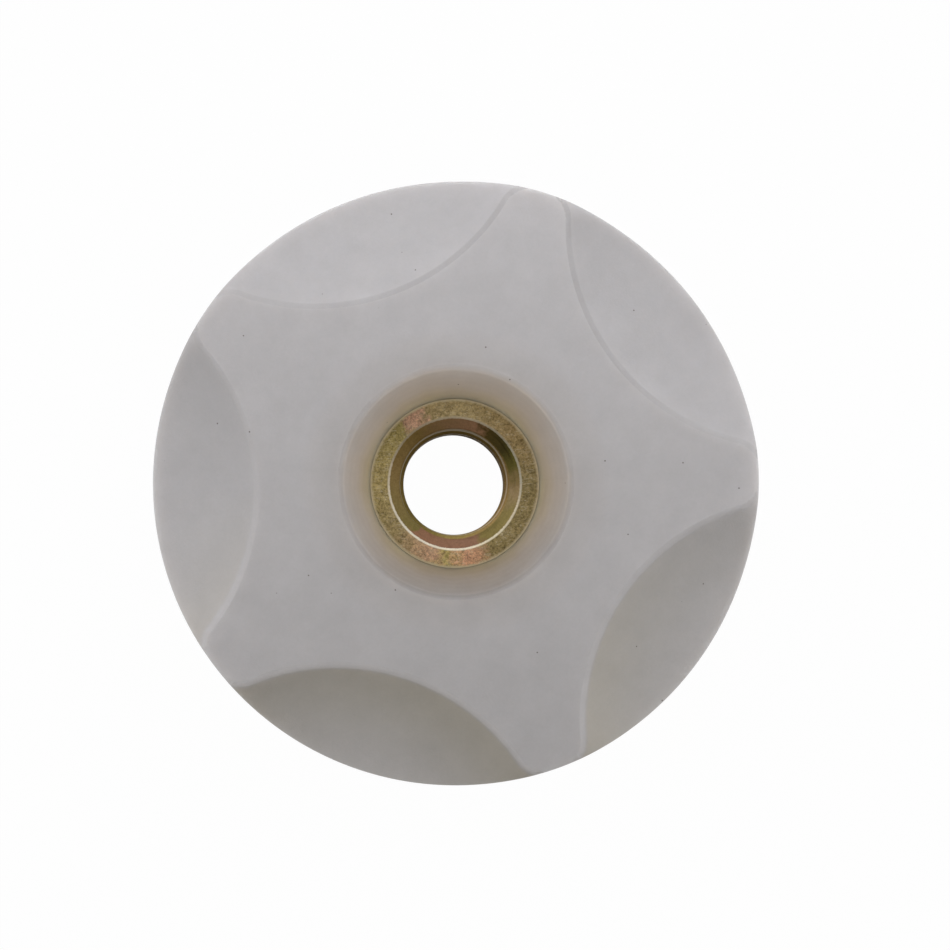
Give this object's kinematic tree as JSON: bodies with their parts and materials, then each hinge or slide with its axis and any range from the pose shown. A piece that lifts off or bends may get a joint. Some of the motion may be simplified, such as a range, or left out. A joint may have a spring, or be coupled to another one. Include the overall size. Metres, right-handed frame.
{
  "type": "star knob",
  "caption": "Lobed star knob with scooped finger grips and a conical recess, moulded round a hex nut whose thread runs right through.",
  "frame": {"origin": "centre of the flat clamping face, on the thread's axis", "axes": "+Z along the thread's axis, from the clamping face to the star face; +X through the middle of a lobe"},
  "size_m": [0.05, 0.05, 0.0125],
  "materials": {
    "natural_plastic": "undyed, slightly translucent moulded plastic, fine matt skin",
    "yellow_zinc_steel": "steel, zinc plated and yellow chromated"
  },
  "bodies": {
    "root": {"knob_body": "natural_plastic", "hex_nut": "yellow_zinc_steel"}
  },
  "joints": []
}
